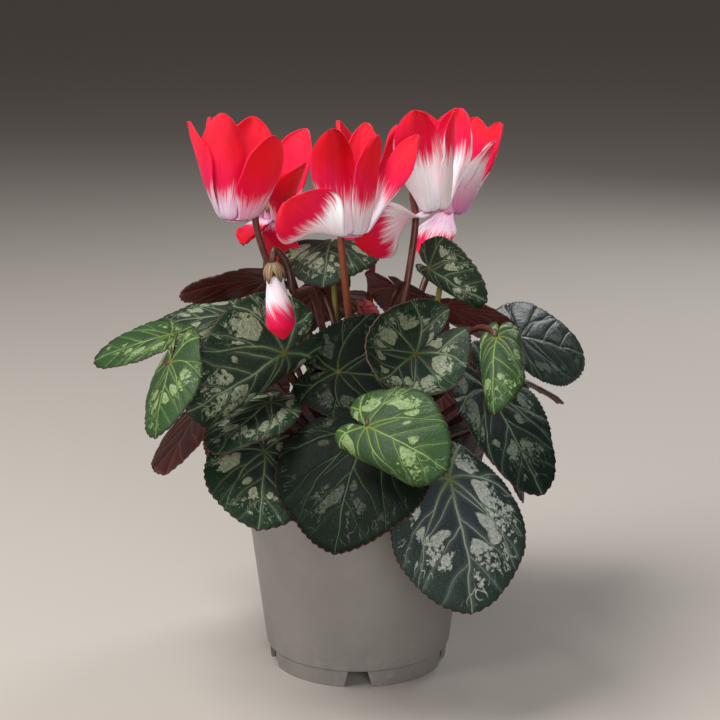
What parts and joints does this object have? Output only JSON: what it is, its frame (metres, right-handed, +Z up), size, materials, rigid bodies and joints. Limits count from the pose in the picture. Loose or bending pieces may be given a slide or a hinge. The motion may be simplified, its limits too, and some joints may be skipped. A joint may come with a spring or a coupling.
{
  "type": "potted cyclamen",
  "caption": "Flowering cyclamen in a plain nursery pot: heart-shaped marbled leaves on arching petioles, turned-back red and white blooms and hanging buds.",
  "frame": {"origin": "the pot's axis at the level of the surface it stands on", "axes": "+Z up along the pot's axis; -Y towards the side with the best blooms, +X to the right of a viewer on that side"},
  "size_m": [0.2036, 0.199, 0.2297],
  "materials": {
    "pot": "satin grey injection-moulded plastic",
    "compost": "dark crumbly peat compost",
    "tuber": "brown corky skin",
    "leaf": "dark green, marbled silver, pale veins, wine-red below",
    "petal": "velvety, white at the base and streaked into coral red",
    "stalk": "smooth red-brown"
  },
  "bodies": {
    "root": {"leaf_left_flat": "leaf", "leaf_left_bright": "leaf", "leaf_left_back_upper": "leaf", "leaf_left_back": "leaf", "leaf_front_left": "leaf", "leaf_front_left_dark": "leaf", "leaf_left_red": "leaf", "leaf_low_left": "leaf", "leaf_low_front": "leaf", "leaf_front_bright": "leaf", "leaf_front_round": "leaf", "leaf_front_dark": "leaf", "leaf_low_right": "leaf", "leaf_right_dark": "leaf", "leaf_right_folded": "leaf", "leaf_right_glossy": "leaf", "leaf_right_back": "leaf", "leaf_upper_rolled": "leaf", "leaf_upper_cupped": "leaf", "leaf_right_under": "leaf", "leaf_young_red": "leaf", "leaf_low_side_right": "leaf", "leaf_low_back_right": "leaf", "leaf_low_back": "leaf", "leaf_low_back_middle": "leaf", "leaf_low_back_left": "leaf", "leaf_back_right": "leaf", "leaf_back": "leaf", "leaf_back_left": "leaf", "leaf_high_back_right": "leaf", "leaf_high_back": "leaf", "bloom_left_petals": "petal", "bloom_left_stalk": "stalk", "bloom_left_back_petals": "petal", "bloom_left_back_stalk": "stalk", "bloom_front_petals": "petal", "bloom_front_stalk": "stalk", "bloom_right_petals": "petal", "bloom_right_stalk": "stalk", "bloom_far_right_petals": "petal", "bloom_far_right_stalk": "stalk", "bloom_back_petals": "petal", "bloom_back_stalk": "stalk", "bud_front_petals": "petal", "bud_front_stalk": "stalk", "bud_back_petals": "petal", "bud_back_stalk": "stalk", "pot": "pot", "compost": "compost", "tuber": "tuber"}
  },
  "joints": []
}
